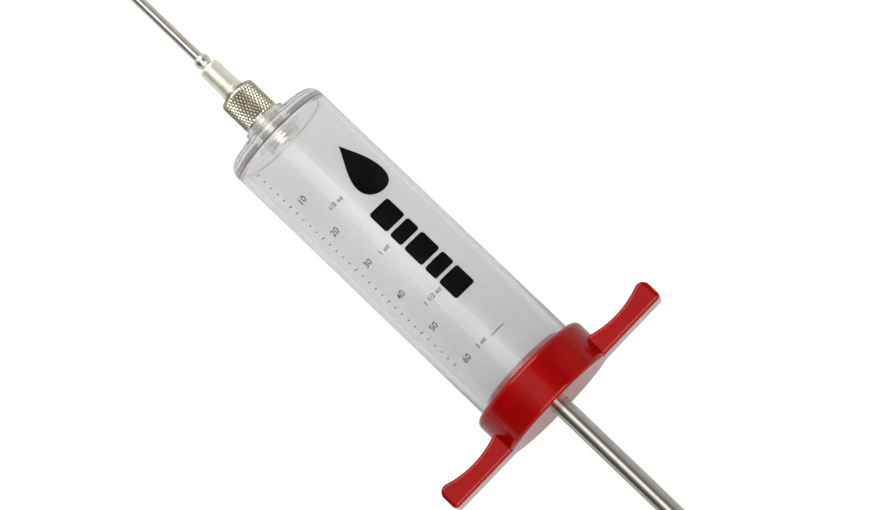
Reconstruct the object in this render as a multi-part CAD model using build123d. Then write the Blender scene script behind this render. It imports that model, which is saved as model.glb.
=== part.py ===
from build123d import *
import os

# Hand-operated meat injector, 60 ml: a clear barrel with a screwed-on finger-grip cap,
# a rod plunger with a thumb button, and an injection needle held by a knurled union nut.
#
# Millimetres. Every piece is turned about the X axis, with axial places measured from the
# barrel's front face: + towards the needle tip, - towards the thumb button. place() then moves
# the whole object so that it lies with its cap on z = 0 and its length centred on x = 0.
# The finger wings reach along +Y and -Y. The plunger is modelled fully drawn back.
# Screw threads are plain cylinders with running clearance.

RUNNING_FIT = 0.05          # radial clearance of a turning or sliding pair
FACE_GAP = 0.02             # axial clearance between faces that turn on each other

# barrel
BARREL_RADIUS = 17.5
BORE_RADIUS = 15.5
SHOULDER_ROUND = 3.5
FRONT_WALL = 4.5
BARREL_END = -113.65        # rear rim, which closes on the cap gasket
NECK_RADIUS = 17.0
BOSS_RADIUS = 7.6
BOSS_LENGTH = 1.75

# outlet nipple, moulded into the front wall
SHANK_RADIUS = 5.0
NIPPLE_FLANGE_RADIUS = 5.6
NIPPLE_FLANGE_LENGTH = 2.3
NIPPLE_BORE_RADIUS = 1.5
KEY_GROOVE_RADIUS = 4.55
KEY_GROOVE = (-2.9, -1.6)
THREAD_RADIUS = 4.75        # M9.5 x 1.25 outside thread for the union nut
NIPPLE_END = 10.4
WASHER_RADIUS = 7.2
WASHER_LENGTH = 1.1

# knurled union nut
NUT_RADIUS = 5.95
NUT_LENGTH = 11.5
NUT_FRONT_WALL = 1.6

# needle
HUB_RADIUS = 3.35
HUB_FLANGE_RADIUS = 4.7
HUB_END = 25.9
HUB_COLLAR = (14.9, 16.1)   # raised ring in front of the nut
HUB_COLLAR_RADIUS = 3.55
NEEDLE_GASKET_LENGTH = 1.0
NEEDLE_RADIUS = 1.6
NEEDLE_BORE_RADIUS = 1.1
NEEDLE_SEAT_RADIUS = 1.4     # ground down where it sits in the hub and the bead
NEEDLE_EXPOSED = 125.0      # hub front to tip
POINT_LENGTH = 9.0
POINT_SPIGOT = 5.0
POINT_TIP_RADIUS = 0.2
BEAD_RADIUS = 2.4
BEAD_CENTRE = 27.9
SIDE_HOLE_RADIUS = 0.6
SIDE_HOLE_COUNT = 4
SIDE_HOLE_FIRST = 9.0       # behind the needle tube's front end
SIDE_HOLE_STEP = 6.0

# finger-grip cap
CAP_RADIUS = 20.8
CAP_LENGTH = 13.9
CAP_REAR_WALL = 3.0
CAP_FRONT_ROUND = 2.2
CAP_EDGE_ROUND = 1.5
CAP_GASKET_LENGTH = 1.0
ROD_HOLE_RADIUS = 3.2
WING_SPAN = 42.8            # axis to wing tip
WING_HALF_WIDTH = 7.5
WING_TIP_THICKNESS = 8.8    # before its front corner is rounded
WING_WAIST_THICKNESS = 5.75
WING_WAIST_AT = 29.5
WING_ROOT_THICKNESS = 8.5
WING_ROOT_AT = 17.0
WING_TIP_ROUND = 2.6
WING_EDGE_ROUND = 1.3

# piston
PISTON_RADIUS = 15.1
PISTON_FRONT = -101.8       # front face with the plunger drawn back
PISTON_HEAD_DISC = 3.2
PISTON_HEAD_ROUND = 1.8
RECESS_RADIUS = 6.4
RECESS_DEPTH = 5.4
RECESS_FLOOR = 0.8
RECESS_WALL = 1.2
PISTON_CORE_LENGTH = 6.8
PISTON_BACK_PLATE = 1.7
RING_SECTION_RADIUS = 1.1
RING_OUTER_RADIUS = 15.46
CORE_LAND = 2.0             # the land between the two ring grooves

# plunger rod and its fasteners
ROD_RADIUS = 2.9
ROD_THREAD_RADIUS = 2.5     # M5
ROD_THREAD_HOLE = 2.55
LOCK_WASHER_RADIUS = 4.6
LOCK_WASHER_LENGTH = 0.6
PISTON_NUT_FLATS = 8.0
PISTON_NUT_LENGTH = 2.4
ROD_EXPOSED = 110.6         # cap to thumb button, plunger drawn back

# thumb button
BUTTON_RADIUS = 14.5
BUTTON_HUB_RADIUS = 6.5
BUTTON_HUB_LENGTH = 5.0
BUTTON_DISC = 8.0
INSERT_RADIUS = 4.0
INSERT_LENGTH = 9.5
INSERT_RIM = 0.6

# places that follow from the sizes above
NUT_START = BOSS_LENGTH + WASHER_LENGTH + FACE_GAP
NUT_END = NUT_START + NUT_LENGTH
HUB_START = NIPPLE_END + FACE_GAP + NEEDLE_GASKET_LENGTH
HUB_FLANGE_END = NUT_END - NUT_FRONT_WALL - FACE_GAP
TIP = HUB_END + NEEDLE_EXPOSED
TUBE_END = TIP - POINT_LENGTH
CAP_FLOOR = BARREL_END - CAP_GASKET_LENGTH
CAP_REAR = CAP_FLOOR - CAP_REAR_WALL
CAP_LIP = CAP_REAR + CAP_LENGTH
NECK_START = CAP_LIP + FACE_GAP
BEAD_FRONT = BEAD_CENTRE + (BEAD_RADIUS**2 - NEEDLE_RADIUS**2) ** 0.5
CORE_FRONT = PISTON_FRONT - PISTON_HEAD_DISC
CORE_REAR = CORE_FRONT - PISTON_CORE_LENGTH
PISTON_REAR = CORE_REAR - PISTON_BACK_PLATE
HEAD_REAR = PISTON_FRONT - RECESS_DEPTH - RECESS_FLOOR
LOCK_WASHER_REAR = PISTON_FRONT - RECESS_DEPTH
NUT_SEAT = LOCK_WASHER_REAR + LOCK_WASHER_LENGTH
ROD_FRONT = NUT_SEAT + PISTON_NUT_LENGTH
RING_GROOVE = (PISTON_CORE_LENGTH - CORE_LAND) / 2
RING_CENTRE_RADIUS = RING_OUTER_RADIUS - RING_SECTION_RADIUS
GROOVE_FLOOR_RADIUS = RING_CENTRE_RADIUS - RING_SECTION_RADIUS - RUNNING_FIT
BUTTON_FRONT = CAP_REAR - ROD_EXPOSED
BUTTON_DISC_FRONT = BUTTON_FRONT - BUTTON_HUB_LENGTH
BUTTON_REAR = BUTTON_DISC_FRONT - BUTTON_DISC
INSERT_END = BUTTON_FRONT - INSERT_LENGTH


def turned(points, rounds=()):
    """Revolve a closed (axial, radius) outline about X; rounds lists (axial, radius, size) corners."""
    face = Sketch() + make_face(Polyline(*points, close=True))
    for axial, radius, size in rounds:
        corner = face.vertices().sort_by_distance((axial, radius, 0))[0]
        face = fillet(corner, size)
    return revolve(face, Axis.X)


def ring(start, end, outer, inner, rounds=()):
    """A plain ring or tube between two axial places."""
    return turned([(start, inner), (end, inner), (end, outer), (start, outer)], rounds)


def place(solid):
    """Move a piece from the turning frame to the object's own frame."""
    return Pos(-(TIP + BUTTON_REAR) / 2, 0, CAP_RADIUS) * solid


def barrel():
    key_rear, key_front = KEY_GROOVE
    outline = [
        (BOSS_LENGTH, SHANK_RADIUS),
        (BOSS_LENGTH, BOSS_RADIUS),
        (0, BOSS_RADIUS),
        (0, BARREL_RADIUS),
        (NECK_START, BARREL_RADIUS),
        (NECK_START, NECK_RADIUS),
        (BARREL_END, NECK_RADIUS),
        (BARREL_END, BORE_RADIUS),
        (-FRONT_WALL, BORE_RADIUS),
        (-FRONT_WALL, SHANK_RADIUS),
        (key_rear, SHANK_RADIUS),
        (key_rear, KEY_GROOVE_RADIUS),
        (key_front, KEY_GROOVE_RADIUS),
        (key_front, SHANK_RADIUS),
    ]
    rounds = [
        (0, BARREL_RADIUS, SHOULDER_ROUND),
        (BOSS_LENGTH, BOSS_RADIUS, 0.5),
        (0, BOSS_RADIUS, 0.4),
        (-FRONT_WALL, BORE_RADIUS, 1.2),
        (BARREL_END, BORE_RADIUS, 0.4),
        (BARREL_END, NECK_RADIUS, 0.4),
    ]
    return turned(outline, rounds)


def outlet_nipple():
    key_rear, key_front = KEY_GROOVE
    flange_rear = -FRONT_WALL - NIPPLE_FLANGE_LENGTH
    seat = BOSS_LENGTH + WASHER_LENGTH
    outline = [
        (flange_rear, NIPPLE_BORE_RADIUS),
        (flange_rear, NIPPLE_FLANGE_RADIUS),
        (-FRONT_WALL, NIPPLE_FLANGE_RADIUS),
        (-FRONT_WALL, SHANK_RADIUS),
        (key_rear, SHANK_RADIUS),
        (key_rear, KEY_GROOVE_RADIUS),
        (key_front, KEY_GROOVE_RADIUS),
        (key_front, SHANK_RADIUS),
        (seat, SHANK_RADIUS),
        (seat, THREAD_RADIUS),
        (NIPPLE_END, THREAD_RADIUS),
        (NIPPLE_END, NIPPLE_BORE_RADIUS),
    ]
    rounds = [
        (flange_rear, NIPPLE_FLANGE_RADIUS, 0.5),
        (flange_rear, NIPPLE_BORE_RADIUS, 0.4),
        (NIPPLE_END, THREAD_RADIUS, 0.6),
    ]
    return turned(outline, rounds)


def outlet_washer():
    front = BOSS_LENGTH + WASHER_LENGTH
    return ring(BOSS_LENGTH, front, WASHER_RADIUS, SHANK_RADIUS, [(front, WASHER_RADIUS, 0.25)])


def knurled_nut():
    hub_hole = HUB_COLLAR_RADIUS + RUNNING_FIT
    thread_bore = THREAD_RADIUS + RUNNING_FIT
    shoulder = NUT_END - NUT_FRONT_WALL
    outline = [
        (NUT_START, thread_bore),
        (NUT_START, NUT_RADIUS),
        (NUT_END, NUT_RADIUS),
        (NUT_END, hub_hole),
        (shoulder, hub_hole),
        (shoulder, thread_bore),
    ]
    return turned(outline, [(NUT_END, NUT_RADIUS, 1.2), (NUT_START, NUT_RADIUS, 0.3)])


def needle_hub():
    collar_rear, collar_front = HUB_COLLAR
    outline = [
        (HUB_START, NEEDLE_SEAT_RADIUS),
        (HUB_START, HUB_FLANGE_RADIUS),
        (HUB_FLANGE_END, HUB_FLANGE_RADIUS),
        (HUB_FLANGE_END, HUB_RADIUS),
        (collar_rear, HUB_RADIUS),
        (collar_rear, HUB_COLLAR_RADIUS),
        (collar_front, HUB_COLLAR_RADIUS),
        (collar_front, HUB_RADIUS),
        (HUB_END, HUB_RADIUS),
        (HUB_END, NEEDLE_SEAT_RADIUS),
    ]
    rounds = [
        (HUB_END, HUB_RADIUS, 1.3),
        (collar_rear, HUB_COLLAR_RADIUS, 0.15),
        (collar_front, HUB_COLLAR_RADIUS, 0.15),
    ]
    return turned(outline, rounds)


def needle_gasket():
    return ring(NIPPLE_END + FACE_GAP, HUB_START, THREAD_RADIUS - 0.4, NEEDLE_BORE_RADIUS)


def needle_bead():
    bead = Pos(BEAD_CENTRE, 0, 0) * Sphere(BEAD_RADIUS)
    behind_hub_face = Pos(HUB_END - BEAD_RADIUS, 0, 0) * Box(2 * BEAD_RADIUS, 8, 8)
    seat = ring(HUB_START, BEAD_FRONT, NEEDLE_SEAT_RADIUS, 0)
    return bead - behind_hub_face - seat - ring(BEAD_FRONT, TIP, NEEDLE_RADIUS, 0)


def needle_tube():
    tube = turned([
        (HUB_START, NEEDLE_BORE_RADIUS),
        (HUB_START, NEEDLE_SEAT_RADIUS),
        (BEAD_FRONT, NEEDLE_SEAT_RADIUS),
        (BEAD_FRONT, NEEDLE_RADIUS),
        (TUBE_END, NEEDLE_RADIUS),
        (TUBE_END, NEEDLE_BORE_RADIUS),
    ])
    for index in range(SIDE_HOLE_COUNT):
        along = TUBE_END - SIDE_HOLE_FIRST - SIDE_HOLE_STEP * index
        drill = Pos(along, 0, 0) * Cylinder(SIDE_HOLE_RADIUS, 4 * NEEDLE_RADIUS)
        if index % 2:
            drill = Rot(90, 0, 0) * drill
        tube -= drill
    return tube


def needle_point():
    outline = [
        (TUBE_END - POINT_SPIGOT, 0),
        (TUBE_END - POINT_SPIGOT, NEEDLE_BORE_RADIUS),
        (TUBE_END, NEEDLE_BORE_RADIUS),
        (TUBE_END, NEEDLE_RADIUS),
        (TIP, POINT_TIP_RADIUS),
        (TIP, 0),
    ]
    return turned(outline, [(TUBE_END - POINT_SPIGOT, NEEDLE_BORE_RADIUS, 0.3)])


def wing_bar():
    """The bar of both finger wings: flat behind, hollowed in front, rounded at the tips."""
    rear = [Line((CAP_REAR, -WING_SPAN), (CAP_REAR, WING_SPAN))]
    sides = []
    for side in (1, -1):
        corner = (CAP_REAR + WING_TIP_THICKNESS, side * WING_SPAN)
        waist = (CAP_REAR + WING_WAIST_THICKNESS, side * WING_WAIST_AT)
        root = (CAP_REAR + WING_ROOT_THICKNESS, side * WING_ROOT_AT)
        sides += [
            Line((CAP_REAR, side * WING_SPAN), corner),
            ThreePointArc(corner, waist, root),
        ]
    root_x = CAP_REAR + WING_ROOT_THICKNESS
    across = [Line((root_x, WING_ROOT_AT), (root_x, -WING_ROOT_AT))]
    face = Sketch() + make_face(rear + sides + across)
    for side in (1, -1):
        corner = face.vertices().sort_by_distance((CAP_REAR + WING_TIP_THICKNESS, side * WING_SPAN, 0))[0]
        face = fillet(corner, WING_TIP_ROUND)
    return Pos(0, 0, -WING_HALF_WIDTH) * extrude(face, 2 * WING_HALF_WIDTH)


def finger_grip_cap():
    drum = ring(CAP_REAR, CAP_LIP, CAP_RADIUS, 0, [(CAP_LIP, CAP_RADIUS, CAP_FRONT_ROUND)])
    seam_clear_of_wings = Rot(90, 0, 0)
    cap = seam_clear_of_wings * drum + wing_bar()
    wing_edges = [
        edge
        for edge in cap.edges()
        if abs(edge.center().Y) > CAP_RADIUS
        and abs(abs(edge.center().Z) - WING_HALF_WIDTH) < 0.01
        and edge.center().X > CAP_REAR + 0.01
    ]
    cap = fillet(wing_edges, WING_EDGE_ROUND)
    rear_edges = cap.edges().filter_by_position(Axis.X, CAP_REAR - 0.01, CAP_REAR + 0.01)
    cap = fillet(rear_edges, CAP_EDGE_ROUND)
    thread_bore = NECK_RADIUS + RUNNING_FIT
    hollow = turned([
        (CAP_REAR - 1, 0),
        (CAP_REAR - 1, ROD_HOLE_RADIUS),
        (CAP_FLOOR, ROD_HOLE_RADIUS),
        (CAP_FLOOR, thread_bore),
        (CAP_LIP + 1, thread_bore),
        (CAP_LIP + 1, 0),
    ])
    return cap - hollow


def cap_gasket():
    return ring(CAP_FLOOR + FACE_GAP, BARREL_END - FACE_GAP, NECK_RADIUS, ROD_RADIUS + RUNNING_FIT)


def piston_head():
    recess_floor = PISTON_FRONT - RECESS_DEPTH
    cup_radius = RECESS_RADIUS + RECESS_WALL
    outline = [
        (PISTON_FRONT, RECESS_RADIUS),
        (PISTON_FRONT, PISTON_RADIUS),
        (CORE_FRONT, PISTON_RADIUS),
        (CORE_FRONT, cup_radius),
        (HEAD_REAR, cup_radius),
        (HEAD_REAR, ROD_THREAD_HOLE),
        (recess_floor, ROD_THREAD_HOLE),
        (recess_floor, RECESS_RADIUS),
    ]
    rounds = [(PISTON_FRONT, PISTON_RADIUS, PISTON_HEAD_ROUND), (PISTON_FRONT, RECESS_RADIUS, 0.5)]
    return turned(outline, rounds)


def piston_core():
    cup_radius = RECESS_RADIUS + RECESS_WALL
    land_front = CORE_FRONT - RING_GROOVE
    land_rear = CORE_REAR + RING_GROOVE
    return turned([
        (CORE_FRONT, cup_radius),
        (CORE_FRONT, GROOVE_FLOOR_RADIUS),
        (land_front, GROOVE_FLOOR_RADIUS),
        (land_front, PISTON_RADIUS),
        (land_rear, PISTON_RADIUS),
        (land_rear, GROOVE_FLOOR_RADIUS),
        (CORE_REAR, GROOVE_FLOOR_RADIUS),
        (CORE_REAR, ROD_THREAD_HOLE),
        (HEAD_REAR, ROD_THREAD_HOLE),
        (HEAD_REAR, cup_radius),
    ])


def piston_back_plate():
    return ring(PISTON_REAR, CORE_REAR, PISTON_RADIUS, ROD_THREAD_HOLE, [(PISTON_REAR, PISTON_RADIUS, 0.6)])


def piston_ring(centre):
    """A rubber ring in one of the piston's two grooves."""
    section = Pos(centre, RING_CENTRE_RADIUS) * Circle(RING_SECTION_RADIUS)
    return revolve(section, Axis.X)


def piston_lock_washer():
    return ring(LOCK_WASHER_REAR, NUT_SEAT, LOCK_WASHER_RADIUS, ROD_THREAD_HOLE)


def piston_nut():
    hexagon = RegularPolygon(PISTON_NUT_FLATS / 2, 6, major_radius=False)
    prism = extrude(Plane.YZ * (hexagon - Circle(ROD_THREAD_RADIUS)), PISTON_NUT_LENGTH)
    chamfer_cone = ring(0, PISTON_NUT_LENGTH, PISTON_NUT_FLATS / 2 + 0.45, 0,
                        [(PISTON_NUT_LENGTH, PISTON_NUT_FLATS / 2 + 0.45, 0.8)])
    return Pos(NUT_SEAT, 0, 0) * (prism & chamfer_cone)


def plunger_rod():
    outline = [
        (ROD_FRONT, 0),
        (ROD_FRONT, ROD_THREAD_RADIUS),
        (PISTON_REAR, ROD_THREAD_RADIUS),
        (PISTON_REAR, ROD_RADIUS),
        (BUTTON_FRONT, ROD_RADIUS),
        (BUTTON_FRONT, ROD_THREAD_RADIUS),
        (INSERT_END, ROD_THREAD_RADIUS),
        (INSERT_END, 0),
    ]
    return turned(outline, [(ROD_FRONT, ROD_THREAD_RADIUS, 0.4)])


def button_insert():
    """Brass insert moulded into the button, with a rim that shows around the rod."""
    outline = [
        (BUTTON_FRONT, ROD_THREAD_RADIUS),
        (BUTTON_FRONT, INSERT_RADIUS + INSERT_RIM),
        (BUTTON_FRONT - 1, INSERT_RADIUS + INSERT_RIM),
        (BUTTON_FRONT - 1, INSERT_RADIUS),
        (INSERT_END, INSERT_RADIUS),
        (INSERT_END, ROD_THREAD_RADIUS),
    ]
    return turned(outline)


def thumb_button():
    insert_hole = [
        (INSERT_END, 0),
        (INSERT_END, INSERT_RADIUS),
        (BUTTON_FRONT - 1, INSERT_RADIUS),
        (BUTTON_FRONT - 1, INSERT_RADIUS + INSERT_RIM),
        (BUTTON_FRONT, INSERT_RADIUS + INSERT_RIM),
    ]
    outline = insert_hole + [
        (BUTTON_FRONT, BUTTON_HUB_RADIUS),
        (BUTTON_DISC_FRONT, BUTTON_HUB_RADIUS),
        (BUTTON_DISC_FRONT, BUTTON_RADIUS),
        (BUTTON_REAR, BUTTON_RADIUS),
        (BUTTON_REAR, 0),
    ]
    rounds = [
        (BUTTON_FRONT, BUTTON_HUB_RADIUS, 0.8),
        (BUTTON_DISC_FRONT, BUTTON_HUB_RADIUS, 2.8),
        (BUTTON_DISC_FRONT, BUTTON_RADIUS, 2.2),
        (BUTTON_REAR, BUTTON_RADIUS, 3.6),
    ]
    return turned(outline, rounds)


pieces = {
    "barrel": barrel(),
    "outlet_nipple": outlet_nipple(),
    "outlet_washer": outlet_washer(),
    "knurled_nut": knurled_nut(),
    "needle_gasket": needle_gasket(),
    "needle_hub": needle_hub(),
    "needle_bead": needle_bead(),
    "needle_tube": needle_tube(),
    "needle_point": needle_point(),
    "finger_grip_cap": finger_grip_cap(),
    "cap_gasket": cap_gasket(),
    "piston_head": piston_head(),
    "piston_core": piston_core(),
    "piston_front_ring": piston_ring(CORE_FRONT - RING_GROOVE / 2),
    "piston_rear_ring": piston_ring(CORE_REAR + RING_GROOVE / 2),
    "piston_back_plate": piston_back_plate(),
    "piston_lock_washer": piston_lock_washer(),
    "piston_nut": piston_nut(),
    "plunger_rod": plunger_rod(),
    "thumb_button": thumb_button(),
    "button_insert": button_insert(),
}

os.makedirs("parts", exist_ok=True)
for name, solid in pieces.items():
    export_step(place(solid), f"parts/{name}.step")
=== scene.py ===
"""Meat injector: the looks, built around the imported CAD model. Lengths are millimetres unless said."""
import math

import bmesh
import bpy
from mathutils import Matrix, Vector


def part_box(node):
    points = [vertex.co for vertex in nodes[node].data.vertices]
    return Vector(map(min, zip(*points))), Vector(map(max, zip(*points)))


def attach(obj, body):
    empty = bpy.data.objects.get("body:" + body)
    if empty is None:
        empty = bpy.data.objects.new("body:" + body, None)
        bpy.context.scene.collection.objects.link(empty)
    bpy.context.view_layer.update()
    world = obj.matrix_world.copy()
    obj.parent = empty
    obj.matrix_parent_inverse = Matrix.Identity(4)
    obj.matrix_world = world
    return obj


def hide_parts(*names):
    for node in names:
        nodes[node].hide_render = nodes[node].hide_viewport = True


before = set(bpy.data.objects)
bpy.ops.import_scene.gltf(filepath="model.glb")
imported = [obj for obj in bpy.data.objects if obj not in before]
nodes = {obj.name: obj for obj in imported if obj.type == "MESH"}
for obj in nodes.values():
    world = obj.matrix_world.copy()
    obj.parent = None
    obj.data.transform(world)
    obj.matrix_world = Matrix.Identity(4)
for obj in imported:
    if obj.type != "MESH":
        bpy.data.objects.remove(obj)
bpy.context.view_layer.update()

MM = 0.001  # metres
BOSS = 1.75  # how far the boss stands out of the barrel's front face

# The turning axis, and where the barrel's front face is, from the CAD barrel itself.
lowest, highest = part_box("barrel")
FACE_X = highest.x / MM - BOSS
AXIS_Z = (lowest.z + highest.z) / 2 / MM

BARREL_R, BORE_R, NECK_R = 17.5, 15.5, 17.0
BARREL_END, NECK_START = -113.65, -103.73
FRONT_WALL = 4.5


# ---------------------------------------------------------------- geometry helpers

def at(a, radius, angle):
    """A point in metres: a along the axis from the barrel's face, angle about +X from +Y to +Z."""
    return (
        (a + FACE_X) * MM,
        radius * math.cos(angle) * MM,
        (radius * math.sin(angle) + AXIS_Z) * MM,
    )


def rounded(corners, steps=6):
    """An outline from (a, r) or (a, r, round) corners, with each round turned into an arc."""
    out = []
    for i, corner in enumerate(corners):
        p = Vector(corner[:2])
        size = corner[2] if len(corner) > 2 else 0
        if not size:
            out.append(tuple(p))
            continue
        before = (Vector(corners[i - 1][:2]) - p).normalized()
        after = (Vector(corners[(i + 1) % len(corners)][:2]) - p).normalized()
        half = before.angle(after) / 2
        reach = size / math.tan(half)
        centre = p + (before + after).normalized() * size / math.sin(half)
        start, end = p + before * reach - centre, p + after * reach - centre
        turn = start.angle_signed(end)
        for k in range(steps + 1):
            spun = start.copy()
            spun.rotate(Matrix.Rotation(-turn * k / steps, 2))
            out.append(tuple(centre + spun))
    return out


def run(start, end, radius, step):
    """Outline points along a straight stretch, evenly spaced and no further apart than step."""
    parts = math.ceil(abs(end - start) / step - 1e-6)
    return [(start + (end - start) * k / parts, radius) for k in range(parts + 1)]


def triangle(x):
    """A wave that rises from 0 to 1 and falls back over each unit of x."""
    return 1 - abs(2 * (x % 1) - 1)


def thread_depth(a, angle, pitch, start, end, depth):
    """How far a right-hand thread is cut below its crest at a point, running out at both ends."""
    steepness, crest = 2.2, 0.6
    groove = min(1, max(0, steepness * triangle(a / pitch - angle / (2 * math.pi)) - crest))
    run_out = 0.6 * pitch
    fade = min(1, max(0, (a - start) / run_out), max(0, (end - a) / run_out))
    return depth * groove * fade


def mesh_piece(name, verts, faces, material, body, sharp):
    """A smooth-shaded mesh on a body, with edges steeper than sharp degrees kept crisp."""
    mesh = bpy.data.meshes.new(name)
    mesh.from_pydata(verts, [], faces)
    made = bmesh.new()
    made.from_mesh(mesh)
    bmesh.ops.remove_doubles(made, verts=made.verts, dist=1e-7)
    bmesh.ops.recalc_face_normals(made, faces=made.faces)
    made.to_mesh(mesh)
    made.free()
    mesh.polygons.foreach_set("use_smooth", [True] * len(mesh.polygons))
    mesh.set_sharp_from_angle(angle=math.radians(sharp))
    mesh.materials.append(material)
    piece = bpy.data.objects.new(name, mesh)
    bpy.context.scene.collection.objects.link(piece)
    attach(piece, body)
    return piece


def lathe(name, outline, material, body, segments, shift, sharp):
    """Turn a closed outline about the axis. shift(a, r, angle) gives the radius that r is changed to."""
    verts, faces = [], []
    n = len(outline)
    for s in range(segments):
        angle = 2 * math.pi * s / segments
        verts += [at(a, shift(a, r, angle), angle) for a, r in outline]
    for s in range(segments):
        t = (s + 1) % segments
        for i in range(n):
            j = (i + 1) % n
            faces.append((s * n + i, s * n + j, t * n + j, t * n + i))
    return mesh_piece(name, verts, faces, material, body, sharp)


# ---------------------------------------------------------------- material helpers

def new_material(name):
    material = bpy.data.materials.new(name)
    material.use_nodes = True
    tree = material.node_tree
    return material, tree, tree.nodes["Principled BSDF"]


def node(tree, kind, **settings):
    """A new node. Each setting is an input's value where it names one, and else a property."""
    made = tree.nodes.new(kind)
    for key, value in settings.items():
        if key in made.inputs:
            made.inputs[key].default_value = value
        else:
            setattr(made, key, value)
    return made


def feed(tree, target, source):
    """Link source to the input target, or set the input where source is a plain value."""
    if isinstance(source, bpy.types.NodeSocket):
        tree.links.new(source, target)
    else:
        target.default_value = source


def maths(tree, operation, *sources, kind="ShaderNodeMath", output=0):
    made = node(tree, kind, operation=operation)
    for target, source in zip(made.inputs, sources):
        feed(tree, target, source)
    return made.outputs[output]


def vector_maths(tree, operation, *sources, output="Vector"):
    return maths(tree, operation, *sources, kind="ShaderNodeVectorMath", output=output)


def spread(tree, value, start, end, low=0.0, high=1.0):
    """value between start and end, moved to between low and high and held there."""
    made = node(tree, "ShaderNodeMapRange", **{
        "From Min": start, "From Max": end, "To Min": low, "To Max": high,
    })
    tree.links.new(value, made.inputs["Value"])
    return made.outputs["Result"]


def blended(tree, factor, first, second, blend_type="MIX"):
    """Two colours mixed. A Mix node's colour sockets are its inputs 6 and 7 and its output 2."""
    made = node(tree, "ShaderNodeMix", data_type="RGBA", blend_type=blend_type)
    for target, source in ((0, factor), (6, first), (7, second)):
        feed(tree, made.inputs[target], source)
    return made.outputs[2]


def coordinates(tree, scale=(1, 1, 1)):
    """Object coordinates in millimetres, stretched by scale."""
    texco = node(tree, "ShaderNodeTexCoord")
    mapping = node(tree, "ShaderNodeMapping", Scale=[s / MM for s in scale])
    tree.links.new(texco.outputs["Object"], mapping.inputs["Vector"])
    return mapping.outputs["Vector"]


def from_axis(tree):
    """Distance from the turning axis, in metres."""
    texco = node(tree, "ShaderNodeTexCoord")
    moved = vector_maths(tree, "SUBTRACT", texco.outputs["Object"], (0, 0, AXIS_Z * MM))
    flat = vector_maths(tree, "MULTIPLY", moved, (0, 1, 1))
    return vector_maths(tree, "LENGTH", flat, output="Value")


def noise(tree, vector, scale, detail, roughness=0.55):
    made = node(tree, "ShaderNodeTexNoise", Scale=scale, Detail=detail, Roughness=roughness)
    tree.links.new(vector, made.inputs["Vector"])
    return made.outputs["Fac"]


def ramp(tree, value, stops):
    """value turned into colours by (place, colour) stops."""
    made = node(tree, "ShaderNodeValToRGB")
    elements = made.color_ramp.elements
    for i, (place, colour) in enumerate(stops):
        element = elements[i] if i < 2 else elements.new(place)
        element.position = place
        element.color = (*colour, 1)
    tree.links.new(value, made.inputs["Fac"])
    return made.outputs["Color"]


def vary_roughness(tree, shader, pattern, rough):
    """Roughness between the two values of rough. A noise pattern is about 0.3 to 0.7."""
    tree.links.new(spread(tree, pattern, 0.3, 0.7, *rough), shader.inputs["Roughness"])


def bump(tree, shader, height, strength, distance):
    """Bump of a height map, distance high."""
    made = node(tree, "ShaderNodeBump", Strength=strength, Distance=distance * MM)
    tree.links.new(height, made.inputs["Height"])
    tree.links.new(made.outputs["Normal"], shader.inputs["Normal"])


def recolour(material, change):
    """Replace the base colour by change(tree, the old colour's socket)."""
    tree = material.node_tree
    target = tree.nodes["Principled BSDF"].inputs["Base Color"]
    old = target.links[0].from_socket
    tree.links.new(change(tree, old), target)


# ---------------------------------------------------------------- kinds of material

def metal(name, dark, light, rough, grain, grain_scale, grain_depth, metallic=1.0):
    """Bare or plated metal: two tones in fine grain, roughness that varies, and a fine surface."""
    material, tree, shader = new_material(name)
    fine = noise(tree, coordinates(tree, grain), grain_scale, 4)
    broad = noise(tree, coordinates(tree), 0.35, 2)
    pattern = maths(tree, "MULTIPLY", maths(tree, "ADD", fine, broad), 0.5)
    tree.links.new(ramp(tree, pattern, [(0.36, dark), (0.62, light)]), shader.inputs["Base Color"])
    vary_roughness(tree, shader, pattern, rough)
    shader.inputs["Metallic"].default_value = metallic
    bump(tree, shader, fine, 0.35, grain_depth)
    return material


def moulded(name, dark, light, rough, peel, specular=0.5, sheen=(1, 1, 1)):
    """Moulded plastic or rubber: slight colour drift, orange-peel surface, faint handling marks."""
    material, tree, shader = new_material(name)
    vector = coordinates(tree)
    drift = noise(tree, vector, 0.12, 3)
    marks = noise(tree, coordinates(tree, (0.25, 1, 1)), 2.2, 6, 0.7)
    tree.links.new(ramp(tree, drift, [(0.35, dark), (0.65, light)]), shader.inputs["Base Color"])
    vary_roughness(tree, shader, marks, rough)
    shader.inputs["Specular IOR Level"].default_value = specular
    shader.inputs["Specular Tint"].default_value = (*sheen, 1)
    bump(tree, shader, noise(tree, vector, 1.3, 2), 0.3, peel)
    return material


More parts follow.
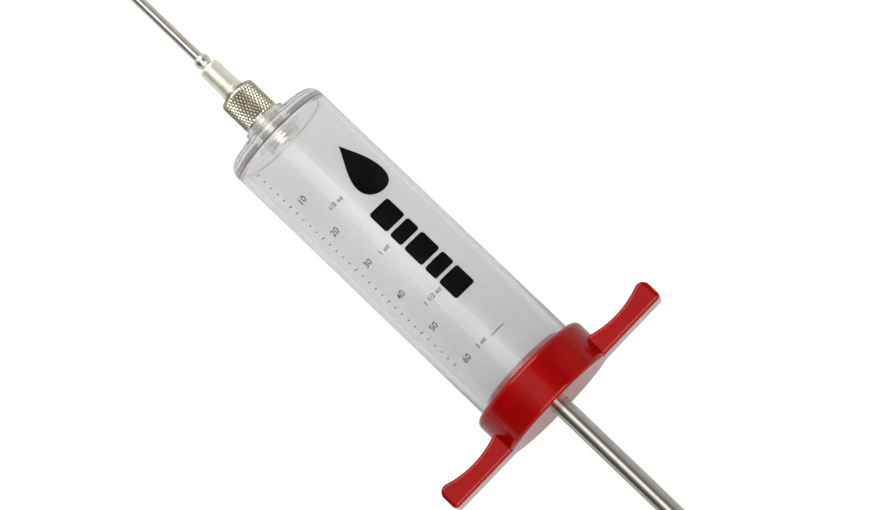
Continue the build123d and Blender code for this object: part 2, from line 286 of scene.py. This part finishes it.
def clear(name, tint, haze, rough, haze_colour):
    """Clear plastic, which lets lamps through, with a trace of haze and moulding flow lines."""
    material, tree, shader = new_material(name)
    flow = noise(tree, coordinates(tree, (0.25, 1, 1)), 0.55, 3)
    deeper = [c * 0.985 for c in tint]
    tree.links.new(ramp(tree, flow, [(0.35, deeper), (0.65, tint)]), shader.inputs["Base Color"])
    vary_roughness(tree, shader, flow, rough)
    shader.inputs["IOR"].default_value = 1.5
    shader.inputs["Transmission Weight"].default_value = 1
    bump(tree, shader, flow, 0.15, 0.03)
    cloudy = node(tree, "ShaderNodeBsdfDiffuse", Color=(*haze_colour, 1))
    hazy = node(tree, "ShaderNodeMixShader", Fac=haze)
    tree.links.new(shader.outputs[0], hazy.inputs[1])
    tree.links.new(cloudy.outputs[0], hazy.inputs[2])
    path = node(tree, "ShaderNodeLightPath")
    through = node(tree, "ShaderNodeBsdfTransparent", Color=(0.93, 0.93, 0.94, 1))
    lamps = node(tree, "ShaderNodeMixShader")
    tree.links.new(path.outputs["Is Shadow Ray"], lamps.inputs["Fac"])
    tree.links.new(hazy.outputs[0], lamps.inputs[1])
    tree.links.new(through.outputs[0], lamps.inputs[2])
    tree.links.new(lamps.outputs[0], tree.nodes["Material Output"].inputs["Surface"])
    return material


def paint_groove_shade(material, low, high, tone):
    """Painted shade between ridges: the base colour is multiplied by tone where the distance from the axis is
    low.
    """
    def with_groove_shade(tree, old):
        height = spread(tree, from_axis(tree), low * MM, high * MM)
        shade = ramp(tree, height, [(0.0, tone), (0.8, (1, 1, 1))])
        return blended(tree, 1, old, shade, "MULTIPLY")

    recolour(material, with_groove_shade)


def painted_corner_shade(material, a, reach, inner, tone):
    """Painted shade at the moulded corner at one place along the axis, outside radius inner: a thin darker
    line that stands in for the shade seen through the clear wall there.
    """
    edge = 0.3

    def lined(tree, old):
        outside = spread(tree, from_axis(tree), inner * MM, (inner + edge) * MM)
        split = node(tree, "ShaderNodeSeparateXYZ")
        texco = node(tree, "ShaderNodeTexCoord")
        tree.links.new(texco.outputs["Object"], split.inputs[0])
        away = maths(tree, "ABSOLUTE", maths(tree, "SUBTRACT", split.outputs["X"], (a + FACE_X) * MM))
        near = spread(tree, away, 0.4 * reach * MM, reach * MM, 1, 0)
        return blended(tree, maths(tree, "MULTIPLY", near, outside), old, (*tone, 1))

    recolour(material, lined)


def give(material, *names):
    """Put a material on CAD nodes."""
    for name in names:
        mesh = nodes[name].data
        mesh.materials.clear()
        mesh.materials.append(material)


# ---------------------------------------------------------------- materials

CLEAR = clear("clear_plastic", (0.865,) * 3, 0.08, (0.004, 0.014), (0.62,) * 3)
# a thin line of painted shade at the inner corner of the front wall
painted_corner_shade(CLEAR, -FRONT_WALL, 0.5, BORE_R - 0.6, (0.06, 0.015, 0.03))
WASHER = clear("clear_washer", (0.88, 0.88, 0.86), 0.12, (0.08, 0.16), (0.86, 0.86, 0.87))
RED = moulded(
    "red_plastic", (0.163, 0.0003, 0.0004), (0.190, 0.0004, 0.0006), (0.07, 0.12), 0.010,
    sheen=(1.0, 0.24, 0.22),
)
RUBBER = moulded("black_rubber", (0.012, 0.012, 0.013), (0.022, 0.021, 0.021), (0.45, 0.62), 0.03)
GASKET = moulded("white_gasket", (0.66, 0.65, 0.62), (0.74, 0.73, 0.70), (0.42, 0.55), 0.03)
NYLON = moulded(
    "white_nylon", (0.86, 0.85, 0.77), (0.94, 0.93, 0.85), (0.34, 0.46), 0.02, specular=0.3
)
INK = moulded(
    "black_ink", (0.0010, 0.0010, 0.0012), (0.003, 0.003, 0.0034), (0.30, 0.42), 0.006, specular=0.06
)
SCALE_INK = moulded("scale_ink", (0.035, 0.035, 0.04), (0.07, 0.07, 0.075), (0.40, 0.55), 0.01)
SATIN = metal(
    "nickel_satin", (0.75, 0.73, 0.61), (0.85, 0.83, 0.70), (0.30, 0.38), (6, 0.4, 0.4), 1.6, 0.008,
    metallic=0.85,
)
NUT = metal(
    "nickel_knurled", (0.44, 0.41, 0.32), (0.58, 0.55, 0.44), (0.20, 0.30), (1, 1, 1), 2.5, 0.01,
    metallic=0.95,
)
# painted shade in the knurl's grooves: darker where the radius is small
paint_groove_shade(NUT, 5.66, 5.93, (0.24, 0.21, 0.14))
BRIGHT = metal(
    "nickel_bright", (0.64, 0.61, 0.53), (0.72, 0.70, 0.61), (0.08, 0.16), (4, 0.4, 0.4), 1.6, 0.004
)
STEEL = metal(
    "stainless_tube", (0.60, 0.58, 0.50), (0.70, 0.68, 0.59), (0.16, 0.24), (0.12, 3, 3), 1.2, 0.004
)
ROD = metal(
    "plated_rod", (0.44, 0.425, 0.375), (0.51, 0.49, 0.44), (0.07, 0.13), (0.08, 3, 3), 1.0, 0.003
)
BRASS = metal(
    "brass", (0.62, 0.42, 0.16), (0.74, 0.52, 0.22), (0.20, 0.32), (3, 0.5, 0.5), 1.4, 0.008
)

give(SATIN, "needle_hub")
give(BRIGHT, "needle_bead")
give(STEEL, "needle_tube", "needle_point", "piston_lock_washer", "piston_nut")
give(ROD, "plunger_rod")
give(BRASS, "button_insert")
give(NYLON, "piston_core")
give(GASKET, "cap_gasket", "needle_gasket")
give(RUBBER, "piston_front_ring", "piston_rear_ring")
give(WASHER, "outlet_washer")
give(RED, "finger_grip_cap", "piston_head", "piston_back_plate", "thumb_button")

# ---------------------------------------------------------------- barrel

CAP_PITCH, CAP_THREAD_DEPTH = 3.0, 0.55
BOSS_R = 7.6
RIM = 0.4  # round at the rear rim
# the nipple is moulded into the front wall: its outline there, shared by both pieces
SEAT_R, GROOVE_R = 5.0, 4.55
SEAT = [(-FRONT_WALL, SEAT_R), (-2.9, SEAT_R), (-2.9, GROOVE_R), (-1.6, GROOVE_R), (-1.6, SEAT_R)]

barrel_outline = (
    rounded([
        (BOSS, SEAT_R), (BOSS, BOSS_R, 0.5), (0, BOSS_R, 0.4), (0, BARREL_R, 3.5),
        (-40, BARREL_R), (-75, BARREL_R), (NECK_START, BARREL_R, 0.25), (NECK_START, NECK_R),
    ], 10)
    + run(NECK_START - RIM, BARREL_END + RIM, NECK_R, 0.25)
    + rounded([
        (BARREL_END, NECK_R - RIM), (BARREL_END, BORE_R, RIM), (-75, BORE_R), (-40, BORE_R),
        (-FRONT_WALL, BORE_R, 1.2),
    ] + SEAT, 8)
)


def neck_thread(a, r, angle):
    if abs(r - NECK_R) > 1e-6:
        return r
    return r - thread_depth(a, angle, CAP_PITCH, BARREL_END + RIM, NECK_START - RIM, CAP_THREAD_DEPTH)


barrel = lathe("barrel_shell", barrel_outline, CLEAR, "barrel", 192, neck_thread, 40)
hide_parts("barrel")

# ---------------------------------------------------------------- outlet nipple, with its thread

THREAD_R, THREAD_PITCH, THREAD_DEPTH = 4.75, 1.25, 0.5
THREAD_START, NIPPLE_END = 2.85, 10.4
FLANGE_END, FLANGE_R = -6.8, 5.6
BORE_OF_NIPPLE = 1.5

nipple_outline = (
    rounded(
        [(FLANGE_END, BORE_OF_NIPPLE, 0.4), (FLANGE_END, FLANGE_R, 0.5), (-FRONT_WALL, FLANGE_R)]
        + SEAT
        + [(THREAD_START, SEAT_R), (THREAD_START, THREAD_R)]
    )
    + run(THREAD_START + 0.15, NIPPLE_END - 0.5, THREAD_R, 0.15)
    + [(NIPPLE_END - 0.3, THREAD_R - 0.05), (NIPPLE_END, 4.35), (NIPPLE_END, BORE_OF_NIPPLE)]
)


def nipple_thread(a, r, angle):
    if abs(r - THREAD_R) > 1e-6:
        return r
    return r - thread_depth(a, angle, THREAD_PITCH, THREAD_START + 0.35, NIPPLE_END - 0.1, THREAD_DEPTH)


nipple = lathe("nipple_threaded", nipple_outline, BRIGHT, "barrel", 96, nipple_thread, 40)
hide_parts("outlet_nipple")

# ---------------------------------------------------------------- knurled nut

NUT_START, NUT_END, NUT_R = 2.87, 14.37, 5.95
NUT_BORE_R, HUB_HOLE_R = 4.8, 3.6
NUT_ROUND, NUT_LID = 1.2, 1.6
KNURLS, KNURL_PITCH, KNURL_DEPTH = 34, 1.9, 0.28
KNURL_START, KNURL_END = NUT_START + 0.7, NUT_END - 0.55


def knurl(a, r, angle):
    """Two crossed sets of ridges, which fade out at both ends of the nut."""
    if r < NUT_R - 0.02 or not KNURL_START < a < KNURL_END:
        return r
    turn = KNURLS * angle / (2 * math.pi)
    ridge = min(triangle(turn + a / KNURL_PITCH), triangle(turn - a / KNURL_PITCH))
    edge = min(1, (a - KNURL_START) / 0.35, (KNURL_END - a) / 0.35)
    return r - KNURL_DEPTH * (1 - min(1, 1.7 * ridge)) * max(0, edge)


nut_outline = [
    (NUT_START + 0.4, NUT_BORE_R), (NUT_START, 5.15), (NUT_START, 5.7),
    (NUT_START + 0.09, 5.88), (NUT_START + 0.3, NUT_R),
]
nut_outline += run(NUT_START + 0.43, NUT_END - NUT_ROUND - 0.12, NUT_R, 0.13)
for k in range(1, 9):
    turn = math.radians(90) * k / 8
    nut_outline.append((
        NUT_END - NUT_ROUND * (1 - math.sin(turn)), NUT_R - NUT_ROUND * (1 - math.cos(turn))
    ))
nut_outline += [
    (NUT_END, HUB_HOLE_R + 0.15), (NUT_END - 0.15, HUB_HOLE_R),
    (NUT_END - NUT_LID, HUB_HOLE_R), (NUT_END - NUT_LID, NUT_BORE_R),
]
nut = lathe("nut_knurled", nut_outline, NUT, "union_nut", KNURLS * 8, knurl, 24)
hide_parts("knurled_nut")

# ---------------------------------------------------------------- printing on the barrel

INK_R = BARREL_R + 0.012
INK_DEPTH = 0.03
STRIP = 0.7  # widest flat facet of the print, so that it follows the barrel's curve


def printed(name, shapes, material):
    """Flat outlines, lists of (a, y) with y measured round the barrel, wrapped on it as a layer of ink."""
    made = bmesh.new()
    for shape in shapes:
        made.faces.new([made.verts.new((a, y, 0)) for a, y in shape])
    bmesh.ops.triangulate(made, faces=made.faces[:])
    ys = [v.co.y for v in made.verts]
    cut = math.floor(min(ys)) + STRIP / 2
    while cut < max(ys):
        bmesh.ops.bisect_plane(
            made, geom=made.verts[:] + made.edges[:] + made.faces[:],
            plane_co=(0, cut, 0), plane_no=(0, 1, 0), dist=1e-5,
        )
        cut += STRIP
    bmesh.ops.recalc_face_normals(made, faces=made.faces[:])
    for face in made.faces:
        if face.normal.z < 0:
            face.normal_flip()
    grown = bmesh.ops.extrude_face_region(made, geom=made.faces[:])
    for v in grown["geom"]:
        if isinstance(v, bmesh.types.BMVert):
            v.co.z += INK_DEPTH
    made.verts.index_update()
    verts = [at(v.co.x, INK_R + v.co.z, math.pi / 2 - v.co.y / BARREL_R) for v in made.verts]
    faces = [[v.index for v in face.verts] for face in made.faces]
    made.free()
    piece = mesh_piece(name, verts, faces, material, "barrel", 40)


def lettering(words, size):
    """The faces of a line of generic lettering, centred, as (along, up) pairs."""
    curve = bpy.data.curves.new("letters", "FONT")
    curve.body = words
    curve.size = size
    curve.align_x = "CENTER"
    curve.align_y = "CENTER"
    curve.resolution_u = 3
    curve.offset = 0.02
    holder = bpy.data.objects.new("letters", curve)
    bpy.context.scene.collection.objects.link(holder)
    bpy.context.view_layer.update()
    mesh = bpy.data.meshes.new_from_object(holder.evaluated_get(bpy.context.evaluated_depsgraph_get()))
    faces = [[tuple(mesh.vertices[i].co)[:2] for i in p.vertices] for p in mesh.polygons]
    bpy.data.objects.remove(holder)
    bpy.data.curves.remove(curve)
    bpy.data.meshes.remove(mesh)
    return faces


def arc_y(y):
    """Distance round the barrel from its top line to a point seen at y from above."""
    return BARREL_R * math.asin(y / BARREL_R)


def bar(a, y0, y1, width, slant=0.0):
    """A line from y0 to y1 round the barrel, leaning along the axis by slant each way."""
    return [(a - width / 2 - slant, y0), (a + width / 2 - slant, y0),
            (a + width / 2 + slant, y1), (a - width / 2 + slant, y1)]


def label(words, size, a, y):
    """Lettering that reads across the barrel with the needle up, centred on a and y."""
    return [[(a + v, arc_y(y) - u) for u, v in face] for face in lettering(words, size)]


# the scale: 10 ml to each STEP, counted from ZERO, read with the needle up
ZERO, STEP, MINOR = -9.3, 13.25, 5
TICKS_Y, NUMBERS_Y, OUNCES_Y = 12.7, 9.0, 2.9
ticks, labels = [], []
for i in range(6 * MINOR + 1):
    a, y = ZERO - i * STEP / MINOR, arc_y(TICKS_Y)
    if i % MINOR == 0:
        ticks.append(bar(a, y - 0.70, y + 0.70, 0.30, 0.22))
    else:
        ticks.append(bar(a, y - 0.40, y + 0.40, 0.32, 0.10))
for i in range(1, 7):
    labels += label(f"{10 * i}", 2.9, ZERO - i * STEP - 1.6, NUMBERS_Y)
for words, a in (("1/2 oz", -32.0), ("1 oz", -51.6), ("1 1/2 oz", -71.0), ("2 oz", -90.4)):
    labels += label(words, 2.1, a, OUNCES_Y)
ticks.append(bar(-91.2, arc_y(-5.5), arc_y(-0.6), 0.28))
printed("scale_marks", ticks, SCALE_INK)
printed("scale_numbers", labels, SCALE_INK)


def drop(a0, y0, length, width, steps=40):
    """A drop's outline, its point towards the needle."""
    out = []
    for k in range(steps):
        t = 2 * math.pi * k / steps
        half = width / 2 * math.sin(t) * math.sin(t / 2) ** 1.5 * 1.28
        out.append((a0 + length / 2 * math.cos(t), y0 + half))
    return out


def block(a0, a1, y0, y1, corner=0.9, steps=5):
    """A rectangle with rounded corners."""
    out = []
    for ca, cy, start in ((a1 - corner, y1 - corner, 0), (a0 + corner, y1 - corner, 90),
                          (a0 + corner, y0 + corner, 180), (a1 - corner, y0 + corner, 270)):
        for k in range(steps + 1):
            t = math.radians(start + 90 * k / steps)
            out.append((ca + corner * math.cos(t), cy + corner * math.sin(t)))
    return out


graphic = [drop(-29.8, arc_y(-9.6), 18.5, 13.0)]
WIDE, NARROW, GAP = 7.2, 4.6, 1.1
edge = -41.5
for width in (WIDE, NARROW, WIDE, NARROW, WIDE):
    graphic.append(block(edge - width, edge, arc_y(-8.6), arc_y(-1.2)))
    edge -= width + GAP
printed("generic_graphic", graphic, INK)

# ---------------------------------------------------------------- stage and light

scene = bpy.context.scene
scene.view_settings.view_transform = "Standard"

# a pale floor, whose glow is brighter to the camera than to other rays
paper, tree, shader = new_material("pale_floor")
stains = noise(tree, coordinates(tree), 0.02, 2)
tree.links.new(
    ramp(tree, stains, [(0.3, (0.27,) * 3), (0.7, (0.29,) * 3)]), shader.inputs["Base Color"]
)
shader.inputs["Roughness"].default_value = 0.9
shader.inputs["Specular IOR Level"].default_value = 0.0
shader.inputs["Emission Color"].default_value = (1, 1, 1, 1)
seen = node(tree, "ShaderNodeLightPath").outputs["Is Camera Ray"]
tree.links.new(spread(tree, seen, 0, 1, 0.26, 0.80), shader.inputs["Emission Strength"])

floor_mesh = bpy.data.meshes.new("floor")
HALF = 6.0  # metres
corners = [(-HALF, -HALF, 0), (HALF, -HALF, 0), (HALF, HALF, 0), (-HALF, HALF, 0)]
floor_mesh.from_pydata(corners, [], [(0, 1, 2, 3)])
floor_mesh.materials.append(paper)
floor = bpy.data.objects.new("floor", floor_mesh)
scene.collection.objects.link(floor)
floor.location.z = -0.2 * MM

# Brightness by direction round the X axis, in degrees from straight up towards +Y, gives the long
# reflections. Towards either end of the tool it is even.
BANDS = [
    (-180, 0.30), (-110, 0.45), (-91, 0.55), (-70, 0.66), (-50, 0.46), (-37, 0.26), (-24, 0.28),
    (-12, 0.55), (-5, 1.70), (9, 2.05), (20, 1.75), (27, 0.85), (36, 0.50), (47, 0.24), (64, 0.09),
    (86, 0.20), (105, 0.32), (180, 0.30),
]
world = bpy.data.worlds.new("studio")
scene.world = world
world.use_nodes = True
tree = world.node_tree
split = node(tree, "ShaderNodeSeparateXYZ")
tree.links.new(node(tree, "ShaderNodeTexCoord").outputs["Generated"], split.inputs["Vector"])
around = maths(tree, "ARCTAN2", split.outputs["Y"], split.outputs["Z"])
turned = spread(tree, around, -math.pi, math.pi)
sky = ramp(tree, turned, [((angle + 180) / 360, (level,) * 3) for angle, level in BANDS])
ends = spread(tree, maths(tree, "ABSOLUTE", split.outputs["X"]), 0.42, 0.85)
background = tree.nodes["Background"]
tree.links.new(blended(tree, ends, sky, (1, 1, 1, 1)), background.inputs["Color"])
background.inputs["Strength"].default_value = 1.0


def softbox(name, x):
    """A lamp above one end of the tool, x metres along, turned to its middle."""
    light = bpy.data.lights.new(name, "AREA")
    light.shape = "RECTANGLE"
    light.size, light.size_y = 1.6, 1.2
    light.energy = 34
    lamp = bpy.data.objects.new(name, light)
    lamp.location = (x, 0, 1.1)
    lamp.rotation_euler = (-lamp.location).to_track_quat("-Z", "Y").to_euler()
    scene.collection.objects.link(lamp)


softbox("softbox_front", 1.5)
softbox("softbox_rear", -1.5)

# ---------------------------------------------------------------- camera

TILT = math.radians(7.4)  # of the view, towards the rear of the tool
ROLL = math.radians(43.756)  # of the picture
DISTANCE = 1.7528  # metres
target = Vector((-15.8, -6.06, AXIS_Z)) * MM
towards = Vector((-math.sin(TILT), 0, math.cos(TILT)))
along = Vector((math.cos(TILT), 0, math.sin(TILT)))
across = Vector((0, 1, 0))
right = -math.cos(ROLL) * along - math.sin(ROLL) * across
up = math.sin(ROLL) * along - math.cos(ROLL) * across
place = target + towards * DISTANCE
view = bpy.data.cameras.new("camera")
view.lens = 250
view.sensor_width = 36
view.clip_start = 0.05
view.clip_end = 50
camera = bpy.data.objects.new("camera", view)
camera.matrix_world = Matrix((
    (right.x, up.x, towards.x, place.x),
    (right.y, up.y, towards.y, place.y),
    (right.z, up.z, towards.z, place.z),
    (0, 0, 0, 1),
))
scene.collection.objects.link(camera)
scene.camera = camera
